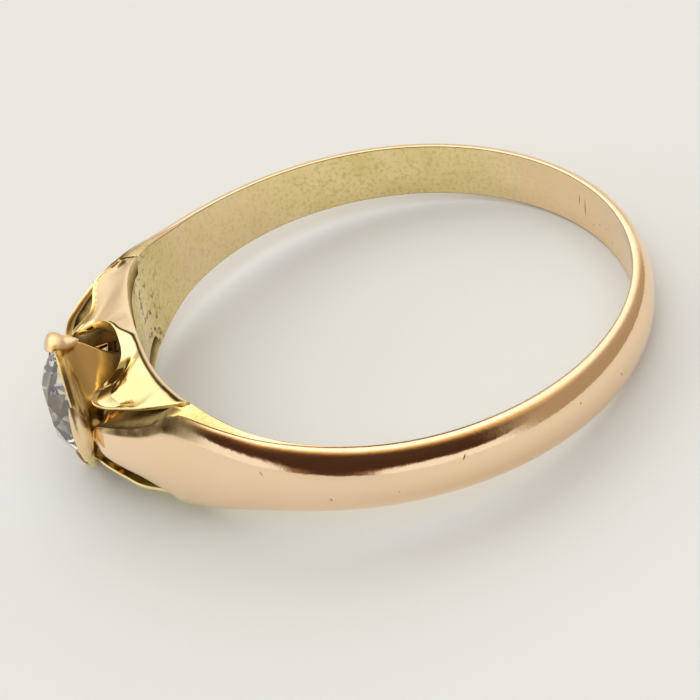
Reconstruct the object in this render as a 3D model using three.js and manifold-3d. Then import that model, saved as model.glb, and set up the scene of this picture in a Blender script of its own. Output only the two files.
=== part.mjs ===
// Split-shoulder solitaire ring: D-section shank, two shoulder tongues, two side
// galleries with a U scallop, a fluted four-claw collet and a round old-cut diamond.
//
// Units are millimetres. The ring lies on its side: the finger hole's axis is Z, the
// stone points along -X, and XZ and the band's mid-plane are planes of symmetry.
// Inside this file a place is given as rho (distance towards the stone), lat (sideways)
// and z from the centre of the finger hole; the group is moved to its box's bottom
// centre at the end.

import * as THREE from 'three';
import { mergeVertices } from 'three/addons/utils/BufferGeometryUtils.js';
import Module from 'manifold-3d';

const wasm = await Module();
wasm.setup();

// ---- Driving dimensions -------------------------------------------------------------

const BORE_R = 8.25;            // finger hole radius, ring size 6 (16.5 mm)
const BACK_WALL = 0.6;          // thickness of the band at its back
const SIDE_WALL = 0.8;          // thickness half way round
const SHOULDER_WALL = 1.25;     // thickness where the shoulders split
const WALL_GROWTH = 12.5;       // how late the band thickens on its way to the shoulders
const SHOULDER_FLARE = 0.2;     // how far each side of the band spreads at the shoulders
const FLARE_END_DEG = 50;
const BORE_FLATTEN = 0.4;       // how far the finger side is flattened under the stone
const SECTION_POWER = 2.25;      // D section: 2 would be a half ellipse, more is squarer
const SPLIT_DEG = 30;           // where each shoulder splits, measured from the stone
const TONGUE_END_DEG = 8;       // where each tongue stops under the setting
const JOINT_GAP = 0.03;         // solder line between touching pieces

const GALLERY_TOP = 1.95;       // outer face of each side gallery, from the mid-plane
const GALLERY_BOTTOM = 1.3;     // inner face of each side gallery
const ARM_TIP_RHO = 9.8;        // arm tips beside the collet
const ARM_TIP_LAT = 2.05;
const SCALLOP_RHO = 8.46;       // deepest point of the U scallop
const ARM_END_DEG = 29;         // where the arms run out on the band

const COLLET_BASE_RHO = 8.55;
const LEDGE_DEPTH = 0.12;       // step inside the rim that carries the stone
const RIM_RHO = 10.5;           // collet rim, level with the stone's girdle
const CLAW_COUNT = 4;
const CLAW_HALF_THICK = 0.16;
const CLAW_FOOT_RHO = 9.98;     // where the claws start above the shoulders' tips
const CLAW_REACH_R = 2.7;       // how far the claws stand out from the stone's axis

const GIRDLE_R = 1.9;
const GIRDLE_HALF = 0.04;
const TABLE_R = 0.92;
const CROWN_H = 0.7;
const PAVILION_H = 1.68;
const CULET_R = 0.12;

// ---- Materials ------------------------------------------------------------------------

const rad = THREE.MathUtils.degToRad;
const gold = (color, roughness) => new THREE.MeshStandardMaterial({ color, roughness, metalness: 1 });
const bandGold = gold(0xe9b98c, 0.18);
const galleryGold = gold(0xe8c06c, 0.14);
const colletGold = gold(0xd9a94e, 0.2);
const clawGold = gold(0xe6b98a, 0.3);
const stone = new THREE.MeshStandardMaterial({ color: 0xdfe3e8, roughness: 0.02, metalness: 0 });

// ---- Mesh helpers ----------------------------------------------------------------------

// Point at a polar place round the finger hole: radius r, angle from the stone, height z.
const polar = (r, angle, z) => [-r * Math.cos(angle), r * Math.sin(angle), z];

// Point on a circle round the stone's axis: distance rho along it, radius r, angle phi.
const axial = (rho, r, phi) => [-rho, r * Math.cos(phi), r * Math.sin(phi)];

// Geometry of a closed body, turned so that its faces point out.
function closedGeometry(points, triangles) {
  const corner = (i) => new THREE.Vector3(...points[i]);
  let volume = 0;
  for (const [a, b, c] of triangles) volume += corner(a).dot(corner(b).cross(corner(c)));
  const index = triangles.flatMap(([a, b, c]) => (volume < 0 ? [a, c, b] : [a, b, c]));
  const geometry = new THREE.BufferGeometry();
  geometry.setAttribute('position', new THREE.Float32BufferAttribute(points.flat(), 3));
  geometry.setIndex(index);
  return geometry;
}

// Closed body through a row of section loops with equal point counts, capped at both ends.
function loft(loops) {
  const count = loops[0].length;
  const points = loops.flat();
  const triangles = [];
  for (let s = 0; s + 1 < loops.length; s++) {
    for (let i = 0; i < count; i++) {
      const a = s * count + i;
      const b = s * count + ((i + 1) % count);
      triangles.push([a, b, b + count], [a, b + count, a + count]);
    }
  }
  for (const [loop, start, flip] of [[loops[0], 0, true], [loops.at(-1), points.length - count, false]]) {
    const centre = [0, 1, 2].map((k) => loop.reduce((sum, p) => sum + p[k], 0) / count);
    const hub = points.push(centre) - 1;
    for (let i = 0; i < count; i++) {
      const a = start + i;
      const b = start + ((i + 1) % count);
      triangles.push(flip ? [hub, b, a] : [hub, a, b]);
    }
  }
  return closedGeometry(points, triangles);
}

// Closed ring through section loops that come back to the first one.
function ringLoft(loops) {
  const count = loops[0].length;
  const points = loops.flat();
  const triangles = [];
  for (let s = 0; s < loops.length; s++) {
    const next = (s + 1) % loops.length;
    for (let i = 0; i < count; i++) {
      const j = (i + 1) % count;
      triangles.push([s * count + i, s * count + j, next * count + j]);
      triangles.push([s * count + i, next * count + j, next * count + i]);
    }
  }
  return closedGeometry(points, triangles);
}

function toSolid(source) {
  const plain = source.clone();
  plain.deleteAttribute('normal');
  plain.deleteAttribute('uv');
  const merged = mergeVertices(plain, 1e-5);
  const vertProperties = new Float32Array(merged.attributes.position.array);
  const triVerts = new Uint32Array(merged.index.array);
  return new wasm.Manifold(new wasm.Mesh({ numProp: 3, vertProperties, triVerts }));
}

function toGeometry(solid) {
  const mesh = solid.getMesh();
  const geometry = new THREE.BufferGeometry();
  geometry.setAttribute('position', new THREE.BufferAttribute(new Float32Array(mesh.vertProperties), 3));
  geometry.setIndex(new THREE.BufferAttribute(new Uint32Array(mesh.triVerts), 1));
  return geometry;
}

// Value at x on the straight lines between [x, y] pairs, x rising.
function along(pairs, x) {
  const last = pairs.length - 1;
  if (x <= pairs[0][0]) return pairs[0][1];
  if (x >= pairs[last][0]) return pairs[last][1];
  const i = pairs.findIndex((pair, k) => k < last && x <= pairs[k + 1][0]);
  const [x0, y0] = pairs[i];
  const [x1, y1] = pairs[i + 1];
  return THREE.MathUtils.lerp(y0, y1, (x - x0) / (x1 - x0));
}

// ---- Band and shoulders ----------------------------------------------------------------

// Half width of the band: slim at the back, spreading towards the stone.
function bandHalfWidth(angle) {
  const nearness = (1 + Math.cos(angle)) / 2;
  const degrees = THREE.MathUtils.radToDeg(Math.min(angle, 2 * Math.PI - angle));
  const flare = 1 - THREE.MathUtils.smoothstep(degrees, SPLIT_DEG, FLARE_END_DEG);
  return BORE_R * (0.1184 + 0.0083 * nearness ** 2 + 0.115 * nearness ** 6) + SHOULDER_FLARE * flare;
}

// Thickness of the band: thinnest at the back, growing towards the shoulders.
function bandWall(angle) {
  const nearness = (1 + Math.cos(angle)) / (1 + Math.cos(rad(SPLIT_DEG)));
  const growth = nearness ** WALL_GROWTH;
  const plain = BACK_WALL + (SIDE_WALL - BACK_WALL) * Math.sin(angle) ** 2;
  return THREE.MathUtils.lerp(plain, SHOULDER_WALL, growth);
}

// Finger side of the ring: a circle, flattened between the shoulders under the stone.
function boreRadius(angle) {
  const nearness = Math.max(0, Math.cos(angle * (90 / SPLIT_DEG)));
  return Math.abs(angle) < rad(SPLIT_DEG) ? BORE_R - BORE_FLATTEN * nearness ** 1.5 : BORE_R;
}

// D-shaped section loop: flat on the finger, squarish sides, a domed outside.
function bandSection(angle, inner, outer, half, domeSteps = 16) {
  const power = 2 / SECTION_POWER;
  const loop = [polar(inner, angle, 0)];
  for (let i = 0; i <= domeSteps; i++) {
    const turn = Math.PI * (0.5 - i / domeSteps);
    const z = half * Math.sign(turn) * Math.abs(Math.sin(turn)) ** power;
    loop.push(polar(inner + (outer - inner) * Math.abs(Math.cos(turn)) ** power, angle, z));
  }
  return loop;
}

function shankGeometry() {
  const start = rad(SPLIT_DEG);
  const steps = 72;
  const loops = [];
  for (let i = 0; i <= steps; i++) {
    const angle = THREE.MathUtils.lerp(start, 2 * Math.PI - start, i / steps);
    loops.push(bandSection(angle, BORE_R, BORE_R + bandWall(angle), bandHalfWidth(angle)));
  }
  return loft(loops);
}

// Shoulder tongues by degrees from the stone: outer radius, and half height. They rise to
// their tips at 16 degrees and go on below the collet as a lower body.
const TONGUE_OUTER = [
  [8, 9.25], [14.5, 9.4], [15.5, 10.42], [16.5, 10.5], [18, 10.5], [22, 10.22], [26, 9.82],
  [SPLIT_DEG, BORE_R + SHOULDER_WALL],
];
const TONGUE_HALF = [
  [8, 0.6], [14.5, 0.7], [16, 0.85], [18, 1.05], [22, 1.35], [26, 1.56], [SPLIT_DEG, 1.86],
];

function tongueGeometry(side, clearances) {
  const gap = THREE.MathUtils.radToDeg(JOINT_GAP / BORE_R);
  const steps = 14;
  const loops = [];
  for (let i = 0; i <= steps; i++) {
    const deg = THREE.MathUtils.lerp(SPLIT_DEG - gap, TONGUE_END_DEG, i / steps);
    const outer = along(TONGUE_OUTER, deg);
    loops.push(bandSection(side * rad(deg), boreRadius(rad(deg)), outer, along(TONGUE_HALF, deg)));
  }
  return toGeometry(clearances.reduce((solid, cut) => solid.subtract(cut), toSolid(loft(loops))));
}

// ---- Side galleries ----------------------------------------------------------------------

// Outline of a gallery seen along the finger hole, from one arm's end round to the other.
function galleryShape(grow = 0) {
  const end = rad(ARM_END_DEG);
  const at = (rho, lat) => new THREE.Vector2(-rho, lat);
  const arm = [[8.42, 29], [8.78, 25.5], [9.32, 20], [9.85, 14.8]];
  const outerEdge = arm.map(([r, deg]) =>
    at((r + grow) * Math.cos(rad(deg)), (r + grow) * Math.sin(rad(deg))));
  const tip = at(ARM_TIP_RHO + grow, ARM_TIP_LAT);
  const scallop = new THREE.CubicBezierCurve(
    at(ARM_TIP_RHO - 0.12 + grow, ARM_TIP_LAT - 0.35),
    at(SCALLOP_RHO + 0.15, 1.75),
    at(SCALLOP_RHO + 0.02, 1.0),
    at(SCALLOP_RHO + grow, 0),
  ).getPoints(8);
  const half = [...outerEdge, tip, ...scallop];
  const mirrored = half.slice(0, -1).reverse().map((p) => new THREE.Vector2(p.x, -p.y));
  const bore = [];
  for (let i = 0; i <= 20; i++) {
    const angle = THREE.MathUtils.lerp(-end, end, i / 20);
    const r = boreRadius(angle) - grow;
    bore.push(at(r * Math.cos(angle), r * Math.sin(angle)));
  }
  return new THREE.Shape([...half, ...mirrored, ...bore]);
}

// Plate between two heights, above (side 1) or below (side -1) the mid-plane.
function galleryPlate(side, low, high, grow = 0) {
  const plate = new THREE.ExtrudeGeometry(galleryShape(grow), { depth: high - low, bevelEnabled: false });
  plate.translate(0, 0, side > 0 ? low : -high);
  return plate;
}

// ---- Collet and claws ----------------------------------------------------------------------

const RIDGE_R = [[COLLET_BASE_RHO, 1.15], [9.0, 1.52], [9.65, 2.14], [10.1, 2.28], [RIM_RHO, 2.26]];
const HOLLOW_R = [
  [COLLET_BASE_RHO, 0.85], [9.0, 1.05], [9.65, 1.45], [10.1, 1.72], [RIM_RHO - LEDGE_DEPTH, 1.82],
];
const FLUTE_DEPTH = [[COLLET_BASE_RHO, 0.08], [9.3, 0.32], [9.9, 0.36], [RIM_RHO, 0.12]];

function colletLoop(phi) {
  const flute = Math.abs(Math.sin(2 * phi)) ** 1.4;
  const outside = RIDGE_R.map(([rho, r]) => axial(rho, r - flute * along(FLUTE_DEPTH, rho), phi));
  const seat = axial(RIM_RHO, GIRDLE_R + 2 * JOINT_GAP, phi);
  const ledge = axial(RIM_RHO - LEDGE_DEPTH, GIRDLE_R + 2 * JOINT_GAP, phi);
  const inside = HOLLOW_R.map(([rho, r]) => axial(rho, r, phi)).reverse();
  return [...outside, seat, ledge, ...inside];
}

function colletGeometry() {
  const steps = 64;
  return ringLoft(Array.from({ length: steps }, (_, i) => colletLoop((2 * Math.PI * i) / steps)));
}

// Solid a little larger than the collet and its claws, for cutting their neighbours clear.
function headClearance() {
  const cup = RIDGE_R.filter(([rho]) => rho > COLLET_BASE_RHO && rho < CLAW_FOOT_RHO);
  const profile = [
    [0, COLLET_BASE_RHO - JOINT_GAP],
    [RIDGE_R[0][1] + JOINT_GAP, COLLET_BASE_RHO - JOINT_GAP],
    ...cup.map(([rho, r]) => [r + JOINT_GAP, rho]),
    [along(RIDGE_R, CLAW_FOOT_RHO) + JOINT_GAP, CLAW_FOOT_RHO - JOINT_GAP],
    [CLAW_REACH_R + JOINT_GAP, CLAW_FOOT_RHO - JOINT_GAP],
    [CLAW_REACH_R + JOINT_GAP, RIM_RHO + CROWN_H],
    [0, RIM_RHO + CROWN_H],
  ].map(([r, rho]) => new THREE.Vector2(r, rho));
  return toSolid(new THREE.LatheGeometry(profile, 64).rotateZ(Math.PI / 2));
}

// Middle line of a claw from foot to tip: rho, distance from the stone's axis, half width.
const CLAW_PATH = [
  [CLAW_FOOT_RHO, 2.46, 0.5], [10.12, 2.5, 0.68], [10.3, 2.52, 0.8], [10.5, 2.45, 0.78],
  [10.66, 2.28, 0.64], [10.78, 2.02, 0.42], [10.88, 1.74, 0.18],
];

// Leaf-shaped claw: rises outside a ridge of the collet and folds over the girdle.
function clawGeometry(phi) {
  const loops = CLAW_PATH.map(([rho, r, halfWidth], i) => {
    const before = CLAW_PATH[Math.max(i - 1, 0)];
    const after = CLAW_PATH[Math.min(i + 1, CLAW_PATH.length - 1)];
    const length = Math.hypot(after[0] - before[0], after[1] - before[1]);
    const out = [-(after[1] - before[1]) / length, (after[0] - before[0]) / length];
    const loop = [];
    for (const [sign, order] of [[1, 1], [-1, -1]]) {
      for (let k = 0; k <= 6; k++) {
        const across = order * (k / 3 - 1);
        const crown = CLAW_HALF_THICK * (1 - 0.55 * across ** 2);
        const turn = phi + (across * halfWidth) / r;
        loop.push(axial(rho + sign * crown * out[0], r + sign * crown * out[1], turn));
      }
    }
    return loop;
  });
  return loft(loops);
}

// ---- Diamond ----------------------------------------------------------------------------------

// Round old cut: octagonal table, stars, kites, split girdle facets, eight mains, open culet.
function diamondGeometry() {
  const topRho = RIM_RHO + CROWN_H;
  const upperRho = RIM_RHO;
  const lowerRho = RIM_RHO - 2 * GIRDLE_HALF;
  const eighth = Math.PI / 4;
  const halfStep = eighth / 2;
  const crownMidR = 1.36;
  const crownSlope = CROWN_H / (GIRDLE_R - TABLE_R);
  const crownMidRho = topRho - crownSlope * (crownMidR * Math.cos(halfStep) - TABLE_R);
  const pavilionMidR = 0.75;
  const pavilionSlope = PAVILION_H / (GIRDLE_R - CULET_R);
  const pavilionMidRho = lowerRho - pavilionSlope * (GIRDLE_R - pavilionMidR * Math.cos(halfStep));
  const ring = (count, shift, rho, r) =>
    Array.from({ length: count }, (_, k) => axial(rho, r, ((k + shift) * 2 * Math.PI) / count));
  const rings = [
    ring(8, 0, topRho, TABLE_R),
    ring(8, 0.5, crownMidRho, crownMidR),
    ring(16, 0, upperRho, GIRDLE_R),
    ring(16, 0, lowerRho, GIRDLE_R),
    ring(8, 0.5, pavilionMidRho, pavilionMidR),
    ring(8, 0, lowerRho - PAVILION_H, CULET_R),
  ];
  const start = rings.map((_, k) => rings.slice(0, k).reduce((sum, r) => sum + r.length, 0));
  const id = (k, i) => start[k] + ((i + rings[k].length) % rings[k].length);
  const triangles = [];
  for (let k = 0; k < 8; k++) {
    triangles.push([id(0, k), id(0, k + 1), id(1, k)]);
    triangles.push([id(0, k), id(1, k), id(2, 2 * k)], [id(0, k), id(2, 2 * k), id(1, k - 1)]);
    triangles.push([id(1, k), id(2, 2 * k + 1), id(2, 2 * k)]);
    triangles.push([id(1, k), id(2, 2 * k + 2), id(2, 2 * k + 1)]);
    triangles.push([id(4, k), id(3, 2 * k), id(3, 2 * k + 1)]);
    triangles.push([id(4, k), id(3, 2 * k + 1), id(3, 2 * k + 2)]);
    triangles.push([id(5, k), id(3, 2 * k), id(4, k)], [id(5, k), id(4, k - 1), id(3, 2 * k)]);
    triangles.push([id(5, k), id(4, k), id(5, k + 1)]);
    if (k > 0 && k < 7) {
      triangles.push([id(0, 0), id(0, k + 1), id(0, k)], [id(5, 0), id(5, k), id(5, k + 1)]);
    }
  }
  for (let k = 0; k < 16; k++) {
    triangles.push([id(2, k), id(2, k + 1), id(3, k + 1)], [id(2, k), id(3, k + 1), id(3, k)]);
  }
  return orient(closedGeometry(rings.flat(), triangles));
}

// Turns every triangle of a star-shaped body to face away from its middle.
function orient(geometry) {
  const position = geometry.attributes.position;
  const index = geometry.index;
  const middle = new THREE.Vector3(-(RIM_RHO - 0.2), 0, 0);
  const corner = (i) => new THREE.Vector3().fromBufferAttribute(position, i).sub(middle);
  for (let t = 0; t < index.count; t += 3) {
    const [a, b, c] = [0, 1, 2].map((k) => index.getX(t + k));
    if (corner(a).dot(corner(b).cross(corner(c))) >= 0) continue;
    index.setX(t + 1, c);
    index.setX(t + 2, b);
  }
  return geometry;
}

// ---- Assembly -----------------------------------------------------------------------------------

const ring = new THREE.Group();

function addPiece(name, geometry, material) {
  const mesh = new THREE.Mesh(geometry, material);
  mesh.name = name;
  ring.add(mesh);
}

const headCut = headClearance();
const plateCuts = [1, -1].map((side) =>
  toSolid(galleryPlate(side, GALLERY_BOTTOM - JOINT_GAP, GALLERY_TOP + 1, JOINT_GAP)));

addPiece('shank', shankGeometry(), bandGold);
addPiece('shoulder_front', tongueGeometry(-1, [...plateCuts, headCut]), bandGold);
addPiece('shoulder_rear', tongueGeometry(1, [...plateCuts, headCut]), bandGold);
for (const [name, side] of [['gallery_upper', 1], ['gallery_lower', -1]]) {
  const plate = toSolid(galleryPlate(side, GALLERY_BOTTOM, GALLERY_TOP));
  addPiece(name, toGeometry(plate.subtract(headCut)), galleryGold);
}
addPiece('collet', colletGeometry(), colletGold);
for (let k = 0; k < CLAW_COUNT; k++) {
  addPiece(`claw_${k + 1}`, clawGeometry((2 * Math.PI * k) / CLAW_COUNT), clawGold);
}
addPiece('diamond', diamondGeometry(), stone);

// The origin is the bottom centre of the ring's box.
const box = new THREE.Box3().setFromObject(ring);
const middle = box.getCenter(new THREE.Vector3());
ring.position.set(-middle.x, -middle.y, -box.min.z);

export default ring;
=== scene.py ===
"""Split-shoulder solitaire ring lying on its side: the looks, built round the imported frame."""

import math

import bmesh
import bpy
from mathutils import Matrix, Vector


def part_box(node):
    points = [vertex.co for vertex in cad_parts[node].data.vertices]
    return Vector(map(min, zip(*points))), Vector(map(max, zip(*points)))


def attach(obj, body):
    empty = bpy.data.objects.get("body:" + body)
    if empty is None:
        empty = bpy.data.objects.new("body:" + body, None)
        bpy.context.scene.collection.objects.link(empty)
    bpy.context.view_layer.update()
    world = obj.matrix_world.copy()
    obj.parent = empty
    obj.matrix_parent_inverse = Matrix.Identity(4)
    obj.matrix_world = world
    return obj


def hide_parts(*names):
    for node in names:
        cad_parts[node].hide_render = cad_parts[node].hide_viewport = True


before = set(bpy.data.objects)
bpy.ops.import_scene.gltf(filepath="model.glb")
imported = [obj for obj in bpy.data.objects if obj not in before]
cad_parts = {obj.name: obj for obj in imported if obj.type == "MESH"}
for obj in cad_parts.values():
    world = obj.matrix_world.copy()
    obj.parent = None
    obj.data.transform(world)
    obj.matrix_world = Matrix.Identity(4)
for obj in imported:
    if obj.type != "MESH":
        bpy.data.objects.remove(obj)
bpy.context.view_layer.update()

# ---- Driving dimensions, in millimetres ------------------------------------------------
# A place on the ring is given as rho (towards the stone), lat (sideways) and z, or as a
# radius r and an angle from the stone, all from the centre of the finger hole.

MM = 0.001
BORE_R = 8.25
BACK_WALL = 0.6
SIDE_WALL = 0.8
SHOULDER_WALL = 1.25
BORE_FLATTEN = 0.4
WALL_GROWTH = 12.5
SHOULDER_FLARE = 0.2
FLARE_END_DEG = 50
SPLIT_DEG = 30
SPLIT = math.radians(SPLIT_DEG)

GALLERY_TOP = 1.95
GALLERY_BOTTOM = 1.3
SCALLOP_RHO = 8.46

COLLET_BASE_RHO = 8.55
RIM_RHO = 10.5
GIRDLE_R = 1.9

shank_low, shank_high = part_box("shank")
HOLE_X = shank_high[0] / MM - (BORE_R + BACK_WALL)
HOLE_Z = (shank_low[2] + shank_high[2]) / 2 / MM


def place(x, y, z):
    """Millimetres from the centre of the finger hole, as metres in the frame."""
    return Vector(((x + HOLE_X) * MM, y * MM, (z + HOLE_Z) * MM))


def polar(r, angle, z):
    return place(-r * math.cos(angle), r * math.sin(angle), z)


def axial(rho, r, phi):
    return place(-rho, r * math.cos(phi), r * math.sin(phi))


# ---- Curves and meshes --------------------------------------------------------------------


def along(pairs, x):
    """Value at x of a smooth curve through [x, y] pairs, x rising."""
    if x <= pairs[0][0]:
        return pairs[0][1]
    if x >= pairs[-1][0]:
        return pairs[-1][1]
    i = next(k for k in range(len(pairs) - 1) if x <= pairs[k + 1][0])
    x0, y0 = pairs[i]
    x1, y1 = pairs[i + 1]
    t = (x - x0) / (x1 - x0)
    before = pairs[i - 1] if i else None
    after = pairs[i + 2] if i + 2 < len(pairs) else None
    slope = (y1 - y0) / (x1 - x0)
    m0 = (y1 - before[1]) / (x1 - before[0]) if before else slope
    m1 = (after[1] - y0) / (after[0] - x0) if after else slope
    h = x1 - x0
    return (
        (2 * t**3 - 3 * t**2 + 1) * y0
        + (t**3 - 2 * t**2 + t) * h * m0
        + (3 * t**2 - 2 * t**3) * y1
        + (t**3 - t**2) * h * m1
    )


def mix(a, b, t):
    return a + (b - a) * t


def smooth(low, high, x):
    """0 at low rising gently to 1 at high; falls when low is the larger."""
    t = min(max((x - low) / (high - low), 0), 1)
    return t * t * (3 - 2 * t)


def fillet(points, radii, steps=6):
    """A closed 2-D outline with each corner rounded by its radius."""
    out = []
    count = len(points)
    for i, radius in enumerate(radii):
        corner = Vector(points[i])
        back = Vector(points[i - 1]) - corner
        ahead = Vector(points[(i + 1) % count]) - corner
        if radius <= 0:
            out.append(tuple(corner))
            continue
        half = back.angle(ahead) / 2
        reach = min(radius / math.tan(half), 0.48 * back.length, 0.48 * ahead.length)
        start = corner + back.normalized() * reach
        end = corner + ahead.normalized() * reach
        for k in range(steps + 1):
            t = k / steps
            point = start * (1 - t) ** 2 + corner * 2 * t * (1 - t) + end * t**2
            out.append(tuple(point))
    return out


def make_object(name, points, faces, smooth_shading=True):
    mesh = bpy.data.meshes.new(name)
    mesh.from_pydata([tuple(p) for p in points], [], faces)
    work = bmesh.new()
    work.from_mesh(mesh)
    bmesh.ops.recalc_face_normals(work, faces=work.faces)
    work.to_mesh(mesh)
    work.free()
    mesh.polygons.foreach_set("use_smooth", [smooth_shading] * len(mesh.polygons))
    mesh.update()
    piece = bpy.data.objects.new(name, mesh)
    bpy.context.scene.collection.objects.link(piece)
    return piece


def loft(name, loops, closed=False):
    """Skin over a row of equal loops, capped at both ends unless it closes on itself."""
    count = len(loops[0])
    points = [p for loop in loops for p in loop]
    faces = []
    rows = len(loops) if closed else len(loops) - 1
    for s in range(rows):
        here = s * count
        ahead = ((s + 1) % len(loops)) * count
        for i in range(count):
            j = (i + 1) % count
            faces.append((here + i, here + j, ahead + j, ahead + i))
    if not closed:
        faces.append(tuple(reversed(range(count))))
        faces.append(tuple(range(len(points) - count, len(points))))
    piece = make_object(name, points, faces)
    if not closed:
        last = len(points) - count
        for edge in piece.data.edges:
            a, b = edge.vertices
            edge.use_edge_sharp = (a < count and b < count) or (a >= last and b >= last)
    return piece


def mark(piece, layer_name, values):
    """Per-point amounts for the materials: zone (yellow, unpolished, and part of a painted dark reflection),
    painted shade, pits and blush (rosy).
    """
    layer = piece.data.attributes.new(layer_name, "FLOAT", "POINT")
    layer.data.foreach_set("value", [float(value) for value in values])


# ---- Band and shoulders ---------------------------------------------------------------------


# The band's half width as shares of the finger hole's radius: at the back, what it gains
# slowly all the way round, and what it gains late, close to the stone.
BACK_SHARE = 0.1184
SLOW_SHARE = 0.0083
LATE_SHARE = 0.115


def band_half_width(angle):
    nearness = (1 + math.cos(angle)) / 2
    flare = SHOULDER_FLARE * (1 - smooth(SPLIT_DEG, FLARE_END_DEG, math.degrees(angle)))
    return BORE_R * (BACK_SHARE + SLOW_SHARE * nearness**2 + LATE_SHARE * nearness**6) + flare


def band_wall(angle):
    nearness = (1 + math.cos(angle)) / (1 + math.cos(SPLIT))
    plain = BACK_WALL + (SIDE_WALL - BACK_WALL) * math.sin(angle) ** 2
    return mix(plain, SHOULDER_WALL, nearness**WALL_GROWTH)


def bore_radius(angle):
    if abs(angle) >= SPLIT:
        return BORE_R
    return BORE_R - BORE_FLATTEN * math.cos(angle * math.pi / 2 / SPLIT) ** 1.5


# The upper edge of the outside, by degrees from the stone: how far out from the finger side,
# and how high. Past 30 degrees it is the tongues' edge and lies below the galleries.
EDGE_OUT = [
    [30, 0.8], [32, 0.6], [35, 0.5], [40, 0.38], [45, 0.26], [52, 0.15], [62, 0.07], [75, 0.04], [180, 0.04],
]
EDGE_DROP = [[30, 0.14], [32, 0.08], [34, 0.05], [40, 0.03], [50, 0.02], [75, 0.01], [180, 0.01]]
TONGUE_DOME = [[12, 0.1], [15, 0.16], [22, 0.26], [26, 0.34], [30, SHOULDER_WALL - 0.8]]
TONGUE_EDGE_R = [[12, 10.3], [15, 10.12], [18, 9.9], [22, 9.6], [26, 9.33], [30, BORE_R + 0.8]]
TONGUE_EDGE_Z = [[12, 0.48], [15, 0.66], [18, 0.8], [22, 0.99], [26, 1.28], [30, 1.72]]
# The rear shoulder's upper edge stands a little further out near its tip.
REAR_EDGE_R = [
    [12, 10.42], [15, 10.42], [18, 10.3], [20, 10.12], [22, 9.95], [24, 9.78], [26, 9.6], [30, BORE_R + 0.8],
]
REAR_EDGE_Z = [
    [12, 0.6], [15, 0.72], [18, 0.98], [20, 1.12], [22, 1.24], [24, 1.34], [26, 1.44], [30, 1.72],
]
# Where each tongue ends in sight, over how many degrees its end is rounded, and the small bar
# that it goes on as under the setting: edge radius, outer radius, edge height, raised height.
TONGUE_TIP = 12.2
TIP_ROUNDING = 2.2
TONGUE_BAR = (9.0, 9.1, 0.5, 0)
BODY_END = 9
# The pitted solder seam of the finger side: its middle and its spread, in degrees.
SEAM_DEG = 28
SEAM_SPREAD = 6.5
DOME_STEPS = 22
DOME_POWER = 2 / 2.25
BAND_STEPS = 480
SHOULDER_STEPS = 160


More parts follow.
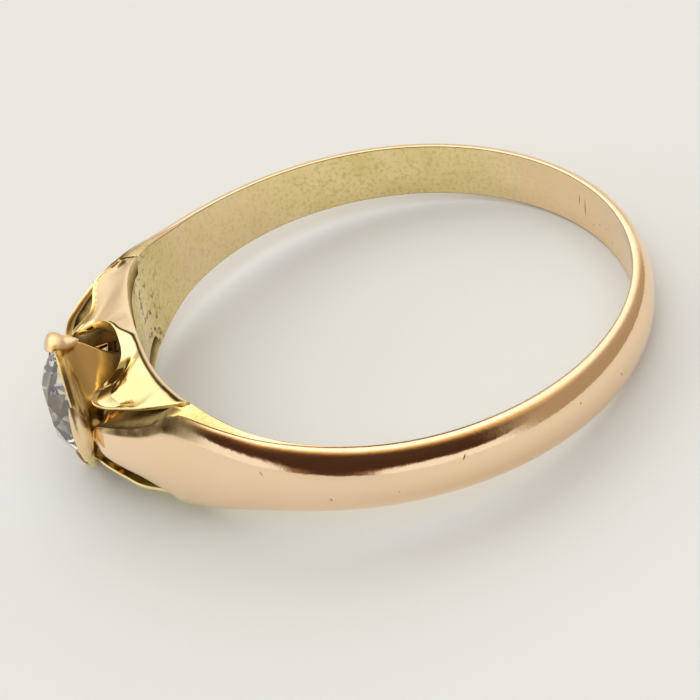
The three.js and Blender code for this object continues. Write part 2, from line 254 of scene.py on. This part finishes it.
def band_profile(angle):
    """Closed outline of the band at an angle: radius, z, how worn-yellow it is and how much painted shade it
    takes.
    """
    rear = 0 < angle < math.pi
    if angle > math.pi:
        angle = 2 * math.pi - angle
    angle = abs(angle)
    degrees = math.degrees(angle)
    inner = bore_radius(angle)
    half = band_half_width(angle)
    raised = 0
    if degrees >= SPLIT_DEG:
        outer = inner + band_wall(angle)
        edge_r = inner + along(EDGE_OUT, degrees)
        edge_z = half - along(EDGE_DROP, degrees)
    else:
        edge_r = along(TONGUE_EDGE_R, degrees)
        edge_z = along(TONGUE_EDGE_Z, degrees)
        outer = edge_r + along(TONGUE_DOME, degrees)
        if rear:
            edge_r = along(REAR_EDGE_R, degrees)
            raised = along(REAR_EDGE_Z, degrees) - edge_z
            outer = max(outer, edge_r + 0.1)
    if degrees < TONGUE_TIP + TIP_ROUNDING:
        nose = max(1 - ((TONGUE_TIP + TIP_ROUNDING - degrees) / TIP_ROUNDING) ** 2, 0) ** 0.5
        edge_z = mix(0.06, edge_z, nose)
        raised *= nose
        outer = mix(edge_r + 0.02, outer, nose)
    if degrees < TONGUE_TIP:
        edge_r, outer, edge_z, raised = TONGUE_BAR
    notch = 1 - smooth(29.4, 31.8, degrees)
    yellow = 1 - smooth(36, 50, degrees)
    flat_r = mix(inner, edge_r, 0.5)
    flat_z = mix(mix(half, edge_z, 0.35), edge_z + 0.16 * min(edge_z, 1), notch)
    inner_z = mix(half, min(GALLERY_BOTTOM - 0.02, edge_z + 0.4), notch)
    pinker = 0.8 * smooth(115, 160, degrees)
    brighter = 0.4 * smooth(36, 50, degrees) * (1 - smooth(65, 95, degrees))
    old = 1 - pinker - brighter
    # A thin dark line of painted shade along the inner edge of the rim, from 32 degrees on.
    corner = 0.85 * smooth(32, 40, degrees)
    half_outline = [
        (inner, inner_z - 0.03, old, 0),
        (inner, inner_z - 0.005, old, corner),
        (inner + 0.012, inner_z, notch, corner),
    ]
    # In the notch by the split, painted shade darkens the flat and the groove floor.
    for k in range(1, 5):
        half_outline.append((mix(inner, flat_r, k / 5), mix(inner_z, flat_z, k / 5), yellow, 0.5 * notch))
    rim = min(0.24, 0.4 * (edge_r - flat_r)) if rear else 0.012
    for k in range(6):
        groove = 0.05 * notch * smooth(2, 5, k)
        floor_r = mix(flat_r, edge_r - rim, k / 5)
        floor_z = mix(flat_z, edge_z, k / 5) - groove
        half_outline.append((floor_r, floor_z, yellow, notch * mix(0.7, 1, smooth(3, 5, k))))
    half_outline.append((edge_r - 0.95 * rim, edge_z - 0.01, 0.8 if rear else 0, 0))
    # Painted dark reflection: an olive-brown band along the top of the tongue's dome, made with the
    # worn-yellow zone and painted shade.
    amber = (1 - smooth(31, 42, degrees)) * smooth(13, 20, degrees)
    for k in range(DOME_STEPS + 1):
        turn = math.pi / 2 * (1 - k / DOME_STEPS)
        z = edge_z * math.sin(turn) ** DOME_POWER
        r = edge_r + (outer - edge_r) * max(math.cos(turn), 0) ** DOME_POWER
        shade = amber * (1 - smooth(9.5, 11.5, k))
        # Painted shade: a dark line along the top edge of the dome, in the gap under the gallery.
        pit_seam_and_gap_shade = 1.5 * (1 - smooth(1, 3, k)) * smooth(12.5, 14, degrees) * (1 - smooth(27, 31, degrees))
        worn = 0.8 if rear and degrees < 27 and k < 4 else 0
        half_outline.append((r, z, max(0.8 * shade, worn), 0 if worn else max(0.9 * shade, pit_seam_and_gap_shade)))
    upper = [(r, z + raised * min(z / edge_z, 1), zone, dirt) for r, z, zone, dirt in half_outline]
    lower = reversed(half_outline[:-1])
    return upper + [(r, -z, zone, 0 if r > edge_r else dirt) for r, z, zone, dirt in lower]


def band_piece(name, start, end, steps):
    loops = []
    zones = []
    dirts = []
    pits = []
    for i in range(steps + 1):
        angle = mix(start, end, i / steps)
        profile = band_profile(angle)
        loops.append([polar(r, angle, z) for r, z, zone, dirt in profile])
        zones += [zone for r, z, zone, dirt in profile]
        dirts += [dirt for r, z, zone, dirt in profile]
        pit_seam_and_gap_shade = 1.2 * math.exp(-(((math.degrees(angle) - SEAM_DEG) / SEAM_SPREAD) ** 2))
        pits += [pit_seam_and_gap_shade * zone for r, z, zone, dirt in profile]
    piece = loft(name, loops)
    mark(piece, "zone", zones)
    mark(piece, "dirt", dirts)
    mark(piece, "pits", pits)
    return piece


def make_shank():
    return band_piece("band", SPLIT, 2 * math.pi - SPLIT, BAND_STEPS)


def make_shoulder(name, side):
    return band_piece(name, side * SPLIT, side * math.radians(BODY_END), SHOULDER_STEPS)


# ---- Side galleries -----------------------------------------------------------------------------

# One half of a gallery, from its arm's end (0) past the tip (0.5) to the middle (1):
# where the finger side is, where the outer edge is and how high that edge stands.
GALLERY_INNER_DEG = [[0, 31.8], [0.12, 29], [0.3, 22], [0.45, 14], [0.55, 10.5], [0.75, 6], [1, 0]]
GALLERY_OUTER = [
    [0.0, 4.37, 7.03], [0.05, 4.25, 7.22], [0.12, 4.04, 7.52], [0.18, 3.81, 7.82], [0.24, 3.48, 8.21],
    [0.3, 3.15, 8.65], [0.36, 2.78, 9.08], [0.42, 2.42, 9.52], [0.46, 2.19, 9.74], [0.49, 2.02, 9.83],
    [0.52, 1.86, 9.8], [0.56, 1.72, 9.6], [0.64, 1.6, 9.12], [0.73, 1.42, 8.8], [0.82, 1.05, 8.58],
    [0.91, 0.55, 8.48], [1.0, 0.0, SCALLOP_RHO],
]
GALLERY_EDGE_Z = [
    [0, 1.88], [0.06, 1.82], [0.12, 1.74], [0.18, 1.63], [0.24, 1.48], [0.3, 1.36], [0.36, 1.27], [0.42, 1.2],
    [0.49, 1.22], [0.56, 1.42], [0.68, 1.66], [0.8, 1.8], [1, 1.86],
]
GALLERY_STEPS = 240
# The furrow across a gallery that parts its rosy inner side from its yellow outer side, with a dark line of
# painted shade along it.
LINE_SHIFTS = (-0.06, 0, 0.06)
LINE_SOFTNESS = 0.045


def gallery_loop(t, side):
    """Closed section of a gallery at t from -1 (front arm) through 0 (middle) to 1."""
    lateral = 1 if t > 0 else -1
    reach = 1 - abs(t)
    angle = math.radians(along(GALLERY_INNER_DEG, reach))
    r = bore_radius(angle)
    inner = (r * math.cos(angle), r * math.sin(angle))
    outer = (
        along([[k, rho] for k, lat, rho in GALLERY_OUTER], reach),
        along([[k, lat] for k, lat, rho in GALLERY_OUTER], reach),
    )
    width = math.dist(inner, outer)
    inner_z = min(GALLERY_TOP - 0.01, band_half_width(angle))
    outer_z = along(GALLERY_EDGE_Z, reach)
    if side > 0 and t > 0:
        r_out = math.hypot(*outer)
        bearing = math.degrees(math.atan2(outer[1], outer[0]))
        cover = smooth(16, 26, bearing) * smooth(31.8, 30.5, bearing)
        grow = mix(1, (along(REAR_EDGE_R, bearing) - 0.16) / r_out, cover)
        outer = (outer[0] * grow, outer[1] * grow)
        width = math.dist(inner, outer)
    if side < 0:
        outer_z = mix(outer_z, 1.62, 0.9 * smooth(0.02, 0.24, reach) * smooth(0.54, 0.32, reach))
        swell = 1 + 0.055 * smooth(0.0, 0.2, reach) * smooth(0.52, 0.26, reach)
        stretch = smooth(0.36, 0.48, reach) * smooth(0.6, 0.52, reach)
        outer = (outer[0] * swell + 0.33 * stretch, outer[1] * swell - 0.36 * stretch)
        width = math.dist(inner, outer)
    hollow = smooth(0.24, 0.46, reach) * smooth(0.8, 0.52, reach)
    dish = 0.1 * min(width / 1.2, 1) * smooth(0.02, 0.2, abs(t)) + 0.26 * hollow
    lip = min(0.09, 0.3 * width)
    thick = mix(0.13, 0.5, smooth(0.55, 0.85, reach))

    def top(e):
        share = min(max((e - lip) / (width - lip), 0), 1)
        sag = dish * math.sin(math.pi * share ** mix(1, 2.0, hollow)) ** 0.9
        return mix(inner_z, outer_z, share**1.3) - sag

    line_e = mix(lip + 0.06, max(width - 0.12, lip + 0.03), smooth(-0.06, 0.13, t))
    across = [mix(lip, width, k / 14) for k in range(14)]
    across += [min(max(line_e + shift, lip), width * 0.995) for shift in LINE_SHIFTS]
    corners = [(0, min(GALLERY_BOTTOM, inner_z - 0.1)), (0, inner_z)]
    corners += [(e, top(e) - (0.02 if abs(e - line_e) < 0.001 else 0)) for e in sorted(across)]
    corners += [(width, outer_z), (width, outer_z - thick)]
    bend = min(mix(0.05, 0.09, hollow), width * 0.2)
    radii = [0.03, 0.03] + [0] * 17 + [bend, bend]
    loop = []
    marks = []
    for e, z in fillet(corners, radii, 5):
        share = e / width
        rho = mix(inner[0], outer[0], share)
        lat = mix(inner[1], outer[1], share) * lateral
        loop.append(place(-rho, lat, side * z))
        depth = top(e) - z
        # Painted shade: darker on the gallery's sides and underside below its top face, and a dark line along
        # the furrow.
        line_reach = smooth(0.46, 0.4, t) * smooth(-0.96, -0.85, t)
        furrow_shade = 1.6 * math.exp(-(((e - line_e) / LINE_SOFTNESS) ** 2)) * line_reach
        dirt = max(0.85 * smooth(0.08, 0.3, depth), furrow_shade if depth < 0.05 else 0)
        blush = 1 if e < line_e else 0
        marks.append((dirt, smooth(0.02, 0.0, e), blush))
    return loop, marks


def make_gallery(name, side):
    rows = [gallery_loop(mix(-1, 1, i / GALLERY_STEPS), side) for i in range(GALLERY_STEPS + 1)]
    piece = loft(name, [loop for loop, marks in rows])
    for k, layer_name in enumerate(("dirt", "zone", "blush")):
        mark(piece, layer_name, [amounts[k] for loop, marks in rows for amounts in marks])
    return piece


# ---- Collet and claws -----------------------------------------------------------------------------

# By rho: the radius of the ridges, the radius of the hollow inside, and how deep the flutes are.
RIDGE_R = [[COLLET_BASE_RHO, 1.13], [9.0, 1.5], [9.65, 2.12], [10.1, 2.26], [RIM_RHO, 2.24]]
HOLLOW_R = [[COLLET_BASE_RHO, 0.87], [9.0, 1.07], [9.65, 1.47], [10.1, 1.74], [10.38, 1.84]]
FLUTE_DEPTH = [
    [COLLET_BASE_RHO, 0.06], [9.0, 0.24], [9.4, 0.42], [9.75, 0.54], [10.0, 0.5], [10.14, 0.34],
    [10.22, 0.1], [10.3, 0.04], [RIM_RHO, 0.03],
]
COLLET_STEPS = 192


def collet_loop(phi):
    flute = abs(math.sin(2 * phi)) ** 0.9
    loop = []
    for k in range(25):
        rho = mix(COLLET_BASE_RHO, RIM_RHO, k / 24)
        loop.append((rho, along(RIDGE_R, rho) - flute * along(FLUTE_DEPTH, rho)))
    seat = GIRDLE_R + 0.06
    loop += [(RIM_RHO + 0.01, seat + 0.06), (RIM_RHO, seat), (RIM_RHO - 0.12, seat - 0.01)]
    for k in range(13):
        rho = mix(RIM_RHO - 0.13, COLLET_BASE_RHO, k / 12)
        loop.append((rho, along(HOLLOW_R, rho)))
    return [axial(rho, r, phi) for rho, r in loop]


def make_collet():
    loops = [collet_loop(2 * math.pi * i / COLLET_STEPS) for i in range(COLLET_STEPS)]
    piece = loft("fluted_collet", loops, closed=True)
    dirts = []
    zones = []
    for i, loop in enumerate(loops):
        flute = abs(math.sin(4 * math.pi * i / COLLET_STEPS))
        for point in loop:
            rho = HOLE_X - point.x / MM
            # Painted shade: darker towards the collet's base in the recess between the galleries, and a dark
            # band in each flute just under the collar.
            under_collar_shade = 0.4 * flute * smooth(10.25, 10.1, rho) * smooth(9.6, 10.1, rho)
            dirts.append(0.8 * (1 - smooth(8.75, 9.4, rho)) + under_collar_shade)
            zones.append(smooth(10.14, 10.24, rho))
    mark(piece, "dirt", dirts)
    mark(piece, "zone", zones)
    return piece


# Outside of a claw from its foot to where it grips the stone: share, rho and radius.
CLAW_PATH = [
    [-0.5, 9.66, 2.3], [0, 10.1, 2.42], [0.2, 10.24, 2.52], [0.4, 10.42, 2.58], [0.6, 10.6, 2.52],
    [0.75, 10.74, 2.36], [0.88, 10.83, 2.14], [1, 10.88, 1.86],
]
# Each claw: how far it spreads round the rim on its two sides, in degrees, and the shares of
# the path where its foot and its point are.
CLAWS = [((-14, 16), 0, 0.95), ((-8, 14), -0.5, 0.76), ((-32, 13), 0, 0.68), ((-3, 16), 0, 0.9)]
CLAW_STEPS = 44


def claw_point(share):
    return (
        along([[k, rho] for k, rho, r in CLAW_PATH], share),
        along([[k, r] for k, rho, r in CLAW_PATH], share),
    )


def make_claw(name, phi, spread, foot, reach):
    """A leaf lying along the rim: broad in the middle, pointed at both ends, folded over the crown."""
    loops = []
    for i in range(CLAW_STEPS + 1):
        v = 2 * i / CLAW_STEPS - 1
        turn = phi + math.radians(mix(spread[0], spread[1], i / CLAW_STEPS))
        fullness = max(1 - abs(v) ** 1.8, 0.004) ** 0.75
        low = mix(0.45, foot, fullness)
        high = mix(0.55, reach, fullness)
        thick = 0.2 * fullness**0.7
        outside = []
        inside = []
        for k in range(17):
            share = mix(low, high, k / 16)
            rho, r = claw_point(share)
            rho0, r0 = claw_point(max(share - 0.03, -0.5))
            rho1, r1 = claw_point(min(share + 0.03, 1))
            run = math.hypot(rho1 - rho0, r1 - r0)
            out = (-(r1 - r0) / run, (rho1 - rho0) / run)
            taper = max(1 - abs(k / 8 - 1) ** 3, 0.02) ** 0.5
            swell = 0.07 * fullness * taper
            outside.append(axial(rho + swell * out[0], r + swell * out[1], turn))
            inside.append(axial(rho - thick * taper * out[0], r - thick * taper * out[1], turn))
        loops.append(outside + inside[::-1])
    return loft(name, loops)


# ---- Materials -------------------------------------------------------------------------------------


def feed(tree, socket, value):
    """Link another node's output to a socket, or set the socket's own value."""
    if hasattr(value, "links"):
        tree.links.new(value, socket)
    else:
        socket.default_value = value


def set_stops(ramp_node, stops):
    elements = ramp_node.color_ramp.elements
    while len(elements) < len(stops):
        elements.new(0.5)
    for element, (position, colour) in zip(elements, stops):
        element.position = position
        element.color = (*colour, 1)


class Nodes:
    """Short hand for building a material's node tree."""

    def __init__(self, name):
        self.material = bpy.data.materials.new(name)
        self.material.use_nodes = True
        self.tree = self.material.node_tree
        self.shader = self.tree.nodes["Principled BSDF"]
        coords = self.tree.nodes.new("ShaderNodeTexCoord")
        self.place = coords.outputs["Object"]

    def add(self, kind, **inputs):
        node = self.tree.nodes.new(kind)
        for key, value in inputs.items():
            if key.startswith("_"):
                setattr(node, key[1:], value)
                continue
            socket = node.inputs[int(key[1:])] if key[0] == "i" and key[1:].isdigit() else node.inputs[key]
            feed(self.tree, socket, value)
        return node

    def math(self, operation, a, b=0.0, c=0.0):
        return self.add("ShaderNodeMath", _operation=operation, i0=a, i1=b, i2=c).outputs[0]

    def noise(self, scale, detail=3.0, roughness=0.5, vector=None):
        node = self.add("ShaderNodeTexNoise", Vector=vector or self.place, Scale=scale, Detail=detail)
        node.inputs["Roughness"].default_value = roughness
        return node.outputs["Fac"]

    def stretched(self, scale):
        node = self.add("ShaderNodeMapping", Vector=self.place)
        node.inputs["Scale"].default_value = scale
        return node.outputs["Vector"]

    def ramp(self, factor, stops):
        node = self.add("ShaderNodeValToRGB", Fac=factor)
        set_stops(node, stops)
        return node.outputs["Color"]

    def mix_colour(self, factor, a, b):
        node = self.add("ShaderNodeMix", _data_type="RGBA")
        for socket, value in zip((node.inputs[0], node.inputs[6], node.inputs[7]), (factor, a, b)):
            feed(self.tree, socket, value)
        return node.outputs[2]

    def grey(self, factor, low, high):
        """factor from 0 to 1 mapped to a value from low to high."""
        node = self.add("ShaderNodeMapRange", Value=factor)
        node.inputs["To Min"].default_value = low
        node.inputs["To Max"].default_value = high
        return node.outputs["Result"]

    def bump(self, height, strength, distance, normal=None):
        node = self.add("ShaderNodeBump", Height=height)
        node.inputs["Strength"].default_value = strength
        node.inputs["Distance"].default_value = distance
        if normal:
            self.tree.links.new(normal, node.inputs["Normal"])
        return node.outputs["Normal"]

    def connect(self, source, socket):
        self.tree.links.new(source, self.shader.inputs[socket])


# The unpolished finger side, pale and olive, the colours of wear on every gold, and the brown of painted
# shade.
INSIDE_GOLD = ((1.0, 0.84, 0.44), (0.85, 0.70, 0.29))
ROSY = (0.80, 0.64, 0.43, 1)
WORN_SPOT = (0.5, 0.38, 0.14, 1)
# Dark brown painted as shade into grooves, gaps, recesses and undersides.
PAINTED_SHADE_BROWN = (0.12, 0.068, 0.022, 1)
PIT_BROWN = (0.2, 0.13, 0.05, 1)
# Heights of the surface's relief, in metres.
RIPPLE_HEIGHT = 0.000016
WAVE_HEIGHT = 0.00003
PIT_DEPTH = 0.00004
HAIR_HEIGHT = 0.00001
SCRATCH_DEPTH = 0.2


def band_marks():
    """Wear of the band: radius, degrees from the stone, z, lean, and half sizes of each mark.

    Two scratches stand side by side near the back of the finger side, with a few pits after
    them. Nicks go round the outside by a steady step, at heights that swing up and down.
    """
    marks = [(BORE_R, 165, 0, 0.1, (0.03, SCRATCH_DEPTH, 0.45))]
    marks.append((BORE_R, 163, 0.2, 0.2, (0.02, SCRATCH_DEPTH, 0.3)))
    for step in range(4):
        z = -0.5 * abs(math.cos(step))
        marks.append((BORE_R, 168 + 3 * step, z, 0, (0.03, SCRATCH_DEPTH, 0.04)))
    outside = BORE_R + 0.7
    for step in range(9):
        degrees = 205 + 13 * step
        length = 0.04 + 0.04 * (step % 3)
        half_sizes = (0.02 + 0.01 * (step % 2), SCRATCH_DEPTH, length)
        marks.append((outside, degrees, 0.6 * math.cos(2.4 * step), 0.6 * math.sin(step), half_sizes))
    return marks


def gold(name, colour, deep, roughness, inside=INSIDE_GOLD, hammered=0.25, marks=()):
    """Worn polished gold: slow colour drift, hairline scratches, pits and dents."""
    n = Nodes(name)
    n.shader.inputs["Metallic"].default_value = 1.0
    drift = n.grey(n.noise(420, 4), -0.2, 1.2)
    colour_out = n.mix_colour(drift, (*colour, 1), (*deep, 1))
    hair = n.noise(1500, 5, 0.7, n.stretched((0.4, 5, 5)))
    rough = n.math("ADD", n.grey(n.noise(900, 4), roughness * 0.7, roughness * 1.4), n.grey(hair, 0, 0.04))
    zone = n.add("ShaderNodeAttribute", _attribute_name="zone").outputs["Fac"]
    dirt = n.add("ShaderNodeAttribute", _attribute_name="dirt").outputs["Fac"]
    pits = n.add("ShaderNodeAttribute", _attribute_name="pits").outputs["Fac"]
    blush = n.add("ShaderNodeAttribute", _attribute_name="blush").outputs["Fac"]
    colour_out = n.mix_colour(blush, colour_out, ROSY)
    rough = n.math("ADD", rough, n.math("MULTIPLY", blush, 0.36))
    pale, olive = inside
    patches = n.grey(n.noise(650, 6, 0.65), -0.8, 1.8)
    worn = n.mix_colour(patches, (*pale, 1), (*olive, 1))
    spots = n.ramp(n.noise(7000, 4, 0.6), [(0.5, (0, 0, 0)), (0.62, (0.35, 0.35, 0.35))])
    worn = n.mix_colour(spots, worn, WORN_SPOT)
    # The zone gives the finger side its unpolished yellow and also colours the painted dark reflection on the
    # tongues.
    colour_out = n.mix_colour(zone, colour_out, worn)
    rough = n.math("ADD", rough, n.math("MULTIPLY", zone, n.grey(n.noise(1200, 5), 0.08, 0.22)))
    # Painted shade and painted dark reflection darken and roughen the gold in patches.
    patchy_shade = n.math("MULTIPLY", dirt, n.grey(n.noise(2600, 4), 0.6, 1.3))
    patchy_shade.node.use_clamp = True
    colour_out = n.mix_colour(patchy_shade, colour_out, PAINTED_SHADE_BROWN)
    rough = n.math("ADD", rough, n.math("MULTIPLY", patchy_shade, 0.45))
    holes = n.math("MULTIPLY", pits, n.ramp(n.noise(3200, 4, 0.6), [(0.555, (0, 0, 0)), (0.63, (1, 1, 1))]))
    for r, degrees, z, lean, size in marks:
        angle = math.radians(degrees)
        spot = n.add("ShaderNodeMapping", _vector_type="TEXTURE", Vector=n.place)
        spot.inputs["Location"].default_value = polar(r, angle, z)
        spot.inputs["Rotation"].default_value = (0, lean, math.pi / 2 - angle)
        spot.inputs["Scale"].default_value = [extent * MM for extent in size]
        length = n.add("ShaderNodeVectorMath", _operation="LENGTH", i0=spot.outputs["Vector"])
        inside_spot = n.grey(length.outputs["Value"], 1, 0)
        inside_spot.node.inputs["From Min"].default_value = 0.5
        holes = n.math("MAXIMUM", holes, inside_spot)
    colour_out = n.mix_colour(holes, colour_out, PIT_BROWN)
    n.connect(colour_out, "Base Color")
    n.connect(rough, "Roughness")
    ripple = n.bump(n.noise(5200, 3, 0.6), hammered, RIPPLE_HEIGHT)
    waves = n.bump(n.noise(700, 2), hammered, WAVE_HEIGHT, ripple)
    sunk = n.bump(holes, -0.8, PIT_DEPTH, waves)
    n.connect(n.bump(hair, 0.06, HAIR_HEIGHT, sunk), "Normal")
    return n.material


def diamond_material():
    """Clear old-cut stone: faint violet tint, a blue and a yellow flash of fire painted into it, hair-fine
    wear.
    """
    n = Nodes("diamond_look")
    n.shader.inputs["Transmission Weight"].default_value = 1.0
    n.shader.inputs["IOR"].default_value = 2.417
    n.shader.inputs["Metallic"].default_value = 0.0
    cells = n.add("ShaderNodeTexVoronoi", Vector=n.place, Scale=1500.0).outputs["Color"]
    pick = n.add("ShaderNodeSeparateColor", Color=cells).outputs[0]
    # The blue and yellow cells are painted flashes of fire; the others are the stone's grey-violet tint.
    tint_and_painted_fire = n.ramp(pick, [
        (0.0, (0.62, 0.58, 0.66)), (0.5, (0.8, 0.76, 0.78)), (0.66, (0.36, 0.34, 0.9)),
        (0.74, (0.74, 0.7, 0.72)), (0.88, (0.95, 0.9, 0.3)), (1.0, (0.86, 0.85, 0.86)),
    ])
    n.connect(tint_and_painted_fire, "Base Color")
    n.connect(n.grey(n.noise(3000, 3), 0.0, 0.03), "Roughness")
    return n.material


def floor_material():
    n = Nodes("floor_look")
    grain = n.noise(160, 4)
    n.connect(n.mix_colour(grain, (0.78, 0.825, 0.86, 1), (0.80, 0.845, 0.88, 1)), "Base Color")
    n.connect(n.grey(grain, 0.55, 0.65), "Roughness")
    return n.material


# ---- Stage, light and camera ---------------------------------------------------------------------------

FLOOR_HALF_SIZE = 3.0
FLOOR_GAP = 0.00001
ROOM_WHITE = (0.95, 0.95, 0.94)
ROOM_BROWN = (0.42, 0.33, 0.23, 1)
# Where the camera looks from, in degrees and in millimetres from the centre of the finger hole.
CAMERA_AZIMUTH = -8.5
CAMERA_ELEVATION = 36.367
CAMERA_ROLL = -11.936
CAMERA_PLACE = (-9.0449, -51.9306, 37.3923)
CAMERA_LENS = 101.6
SENSOR_WIDTH = 36


def make_floor():
    """A floor under the ring, which rests on its lower claw and on the lower edge of its back."""
    claw_low, claw_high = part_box("claw_4")
    front = Vector((claw_low[0] * 0.55 + claw_high[0] * 0.45, 0, claw_low[2]))
    back = polar(BORE_R + 0.5, math.pi, -0.97 * band_half_width(math.pi))
    along_floor = (back - front).normalized()
    up = along_floor.cross(Vector((0, 1, 0)))
    up = up if up.z > 0 else -up
    side = Vector((0, 1, 0))
    centre = (front + back) / 2 - up * FLOOR_GAP
    corners = [
        centre + along_floor * a * FLOOR_HALF_SIZE + side * b * FLOOR_HALF_SIZE
        for a, b in ((-1, -1), (1, -1), (1, 1), (-1, 1))
    ]
    floor = make_object("floor", corners, [(0, 1, 2, 3)], smooth_shading=False)
    floor.data.materials.append(floor_material())
    return centre


def add_area(name, position, target, size, power, seen=True):
    light = bpy.data.lights.new(name, "AREA")
    light.shape = "RECTANGLE"
    light.size, light.size_y = size
    light.energy = power
    lamp = bpy.data.objects.new(name, light)
    lamp.visible_glossy = seen
    bpy.context.scene.collection.objects.link(lamp)
    lamp.location = position
    lamp.rotation_euler = (target - position).to_track_quat("-Z", "Y").to_euler()
    return lamp


def set_world():
    """A pale room, brightest behind the ring, with a dark oval overhead and dim brown sides."""
    world = bpy.data.worlds.new("room")
    bpy.context.scene.world = world
    world.use_nodes = True
    tree = world.node_tree
    background = tree.nodes["Background"]
    coords = tree.nodes.new("ShaderNodeTexCoord")

    def facing(direction):
        node = tree.nodes.new("ShaderNodeVectorMath")
        node.operation = "DOT_PRODUCT"
        node.inputs[1].default_value = Vector(direction).normalized()
        tree.links.new(coords.outputs["Generated"], node.inputs[0])
        return node.outputs["Value"]

    def math_node(operation, a, b):
        node = tree.nodes.new("ShaderNodeMath")
        node.operation = operation
        for socket, value in zip(node.inputs, (a, b)):
            feed(tree, socket, value)
        return node.outputs["Value"]

    def ease(value, low, high):
        node = tree.nodes.new("ShaderNodeMapRange")
        node.interpolation_type = "SMOOTHSTEP"
        node.inputs["From Min"].default_value = low
        node.inputs["From Max"].default_value = high
        tree.links.new(value, node.inputs["Value"])
        return node.outputs["Result"]

    def ramp(factor, stops):
        node = tree.nodes.new("ShaderNodeValToRGB")
        set_stops(node, stops)
        tree.links.new(factor, node.inputs["Fac"])
        return node.outputs["Color"]

    # An oval overhead, narrower sideways, from low at the front to a little behind.
    across = math_node("ABSOLUTE", math_node("DIVIDE", math_node("ADD", facing((1, 0, 0)), 0.12), 1.45), 0)
    depth = math_node("ABSOLUTE", math_node("DIVIDE", math_node("ADD", facing((0, 1, 0)), 0.265), 1.385), 0)
    cubes = math_node("ADD", math_node("POWER", across, 3), math_node("POWER", depth, 3))
    distance = math_node("POWER", cubes, 1 / 3)
    front = ramp(distance, [
        (0.0, (0.075, 0.042, 0.026)), (0.455, (0.06, 0.028, 0.016)), (0.475, (0.3, 0.16, 0.09)),
        (0.49, ROOM_WHITE),
    ])
    back = ramp(distance, [
        (0.0, (0.075, 0.042, 0.026)), (0.12, (0.09, 0.045, 0.024)), (0.26, (0.24, 0.13, 0.055)),
        (0.4, (0.68, 0.47, 0.22)), (0.5, (0.96, 0.84, 0.56)), (0.57, (1.0, 0.98, 0.92)),
    ])
    choose = tree.nodes.new("ShaderNodeMix")
    choose.data_type = "RGBA"
    tree.links.new(ease(facing((0, 1, 0)), -0.3, 0.1), choose.inputs[0])
    tree.links.new(front, choose.inputs[6])
    tree.links.new(back, choose.inputs[7])
    # The room is brown and dim past the ring's back, and low down behind it.
    behind = ease(facing((0, 1, 0)), 0.5, 0.8)
    low_behind = math_node("MULTIPLY", behind, ease(facing((0, 0, -1)), -0.45, -0.25))
    beside = ease(facing((1, -0.1, 0.3)), 0.5, 0.8)
    dim = tree.nodes.new("ShaderNodeMix")
    dim.data_type = "RGBA"
    tree.links.new(math_node("MAXIMUM", beside, math_node("MULTIPLY", low_behind, 0.75)), dim.inputs[0])
    tree.links.new(choose.outputs[2], dim.inputs[6])
    dim.inputs[7].default_value = ROOM_BROWN
    tree.links.new(dim.outputs[2], background.inputs["Color"])
    lift = tree.nodes.new("ShaderNodeMapRange")
    lift.interpolation_type = "SMOOTHSTEP"
    lift.inputs["From Min"].default_value = 0.2
    lift.inputs["From Max"].default_value = 0.9
    lift.inputs["To Min"].default_value = 1.0
    lift.inputs["To Max"].default_value = 1.3
    tree.links.new(facing((-0.1, 1, 0.6)), lift.inputs["Value"])
    tree.links.new(lift.outputs["Result"], background.inputs["Strength"])


def set_camera():
    azimuth = math.radians(CAMERA_AZIMUTH)
    elevation = math.radians(CAMERA_ELEVATION)
    roll = math.radians(CAMERA_ROLL)
    level = math.cos(elevation)
    back = Vector((math.sin(azimuth) * level, -math.cos(azimuth) * level, math.sin(elevation)))
    right = Vector((math.cos(azimuth), math.sin(azimuth), 0))
    up = back.cross(right)
    turned_right = math.cos(roll) * right + math.sin(roll) * up
    turned_up = -math.sin(roll) * right + math.cos(roll) * up
    camera_data = bpy.data.cameras.new("camera")
    camera_data.lens = CAMERA_LENS
    camera_data.sensor_width = SENSOR_WIDTH
    camera_data.clip_start = 0.005
    camera_data.clip_end = 5
    camera = bpy.data.objects.new("camera", camera_data)
    bpy.context.scene.collection.objects.link(camera)
    rotation = Matrix((turned_right, turned_up, back)).transposed().to_4x4()
    camera.matrix_world = Matrix.Translation(place(*CAMERA_PLACE)) @ rotation
    bpy.context.scene.camera = camera


# ---- Assembly ------------------------------------------------------------------------------------------


def finish_piece(piece, nodes, material):
    piece.data.materials.append(material)
    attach(piece, "root")
    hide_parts(*nodes)


set_camera()
floor_point = make_floor()
set_world()
add_area("key", Vector((-0.1, 0.32, 0.4)), floor_point, (0.5, 0.35), 0.14)
add_area("fill", Vector((-0.05, -0.38, 0.72)), floor_point, (1.0, 1.0), 4.4, seen=False)

band_gold = gold("band_gold_look", (1.0, 0.77, 0.53), (0.98, 0.72, 0.46), 0.07, marks=band_marks())
gallery_gold = gold("gallery_gold_look", (1.0, 0.87, 0.46), (0.96, 0.78, 0.38), 0.06)
collet_gold = gold("collet_gold_look", (0.9, 0.66, 0.3), (0.85, 0.55, 0.2), 0.1)
claw_gold = gold("claw_gold_look", (0.95, 0.76, 0.46), (0.88, 0.64, 0.36), 0.26, hammered=0.9)

finish_piece(make_shank(), ["shank"], band_gold)
finish_piece(make_shoulder("front_tongue", -1), ["shoulder_front"], band_gold)
finish_piece(make_shoulder("rear_tongue", 1), ["shoulder_rear"], band_gold)
finish_piece(make_gallery("upper_gallery", 1), ["gallery_upper"], gallery_gold)
finish_piece(make_gallery("lower_gallery", -1), ["gallery_lower"], gallery_gold)
finish_piece(make_collet(), ["collet"], collet_gold)
for k, (spread, foot, reach) in enumerate(CLAWS):
    claw = make_claw(f"leaf_claw_{k + 1}", k * math.pi / 2, spread, foot, reach)
    finish_piece(claw, [f"claw_{k + 1}"], claw_gold)
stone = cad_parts["diamond"]
stone.data.materials.clear()
stone.data.materials.append(diamond_material())

bpy.context.scene.view_settings.view_transform = "Standard"
